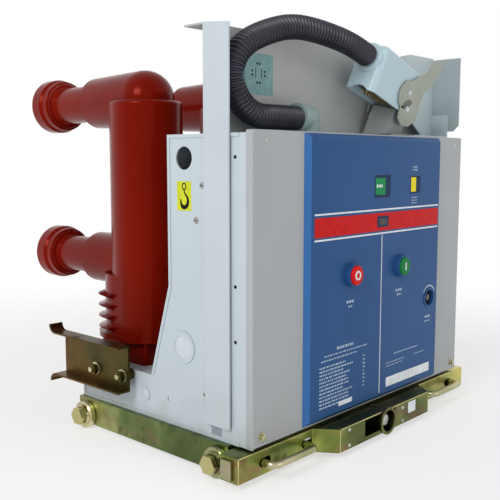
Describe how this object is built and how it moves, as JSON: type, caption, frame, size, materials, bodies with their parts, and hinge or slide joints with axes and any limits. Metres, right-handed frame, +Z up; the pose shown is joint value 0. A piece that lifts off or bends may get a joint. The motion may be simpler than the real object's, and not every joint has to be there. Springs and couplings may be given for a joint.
{
  "type": "withdrawable vacuum circuit breaker",
  "caption": "Three-pole indoor vacuum circuit breaker on a wheeled withdrawable truck, with red epoxy poles, blue front panel and control hose.",
  "frame": {"origin": "under the middle of the breaker, on the plane its wheels stand on", "axes": "+Z up, +Y to the back where the contacts are, +X to the right seen from the front"},
  "size_m": [0.664, 0.633, 0.6711],
  "materials": {
    "chromate": "yellow passivated sheet steel",
    "olive_chromate": "olive passivated sheet steel",
    "pale_paint": "pale blue-gray paint",
    "gray_paint": "mid gray textured paint",
    "blue_paint": "blue satin paint",
    "red_epoxy": "glossy cast epoxy",
    "contact_metal": "silver plated copper",
    "window": "indicator behind a clear window",
    "red_button": "moulded",
    "green_button": "moulded",
    "hose_black": "ribbed, semi-matt",
    "hood_gray": "light gray powder coat",
    "insert_black": "moulded",
    "lever_steel": "passivated",
    "steel": "zinc plated"
  },
  "bodies": {
    "truck": {"truck_rail_left": "chromate", "truck_rail_right": "chromate", "truck_cross_members": "chromate", "pole_floor": "pale_paint", "mechanism_case": "pale_paint", "side_plate_left": "pale_paint", "side_plate_right": "pale_paint", "front_cover": "gray_paint", "front_panel": "blue_paint", "indicator_windows": "window", "partition_board": "gray_paint", "board_strip_left": "gray_paint", "board_strip_right": "pale_paint", "hose_gland": "hood_gray", "control_hose": "hose_black", "plug_hood": "hood_gray", "plug_insert": "insert_black", "plug_holder": "gray_paint", "shutter_bracket_left": "olive_chromate", "shutter_bracket_right": "olive_chromate", "pole_left": "red_epoxy", "pole_middle": "red_epoxy", "pole_right": "red_epoxy", "arm_upper_left": "red_epoxy", "contact_upper_left": "contact_metal", "arm_upper_middle": "red_epoxy", "contact_upper_middle": "contact_metal", "arm_upper_right": "red_epoxy", "contact_upper_right": "contact_metal", "arm_lower_left": "red_epoxy", "contact_lower_left": "contact_metal", "arm_lower_middle": "red_epoxy", "contact_lower_middle": "contact_metal", "arm_lower_right": "red_epoxy", "contact_lower_right": "contact_metal"},
    "beam": {"racking_beam": "chromate"},
    "screw": {"racking_screw": "steel"},
    "handle_left": {"beam_handle_left": "steel"},
    "handle_right": {"beam_handle_right": "steel"},
    "off_button": {"button_off": "red_button"},
    "on_button": {"button_on": "green_button"},
    "wheel_front_left_body": {"wheel_front_left": "steel"},
    "wheel_front_right_body": {"wheel_front_right": "steel"},
    "wheel_rear_left_body": {"wheel_rear_left": "steel"},
    "wheel_rear_right_body": {"wheel_rear_right": "steel"},
    "lever": {"plug_lever": "lever_steel"}
  },
  "joints": [
    {"name": "front_left_wheel", "type": "hinge", "parent": "truck", "child": "wheel_front_left_body", "pos_m": [-0.3095, -0.2205, 0.023], "axis": [1, 0, 0], "continuous": true},
    {"name": "front_right_wheel", "type": "hinge", "parent": "truck", "child": "wheel_front_right_body", "pos_m": [0.3095, -0.2205, 0.023], "axis": [1, 0, 0], "continuous": true},
    {"name": "rear_left_wheel", "type": "hinge", "parent": "truck", "child": "wheel_rear_left_body", "pos_m": [-0.3095, 0.0945, 0.023], "axis": [1, 0, 0], "continuous": true},
    {"name": "rear_right_wheel", "type": "hinge", "parent": "truck", "child": "wheel_rear_right_body", "pos_m": [0.3095, 0.0945, 0.023], "axis": [1, 0, 0], "continuous": true},
    {"name": "racking", "type": "slide", "parent": "truck", "child": "beam", "axis": [0, -1, 0], "range_m": [0, 0.2]},
    {"name": "racking_crank", "type": "hinge", "parent": "beam", "child": "screw", "pos_m": [0, -0.2795, 0.028], "axis": [0, 1, 0], "continuous": true},
    {"name": "left_handle_slide", "type": "slide", "parent": "beam", "child": "handle_left", "axis": [1, 0, 0], "range_m": [0, 0.01], "stiffness_N_per_m": 400, "springref_m": -0.01},
    {"name": "right_handle_slide", "type": "slide", "parent": "beam", "child": "handle_right", "axis": [-1, 0, 0], "range_m": [0, 0.01], "stiffness_N_per_m": 400, "springref_m": -0.01},
    {"name": "off_press", "type": "slide", "parent": "truck", "child": "off_button", "axis": [0, 1, 0], "range_m": [0, 0.006], "stiffness_N_per_m": 600, "springref_m": -0.003},
    {"name": "on_press", "type": "slide", "parent": "truck", "child": "on_button", "axis": [0, 1, 0], "range_m": [0, 0.006], "stiffness_N_per_m": 600, "springref_m": -0.003},
    {"name": "plug_lever_swing", "type": "hinge", "parent": "truck", "child": "lever", "pos_m": [0.12017, -0.23336, 0.54914], "axis": [-0.0061, 0.9763, 0.2162], "range_deg": [0, 55]}
  ]
}
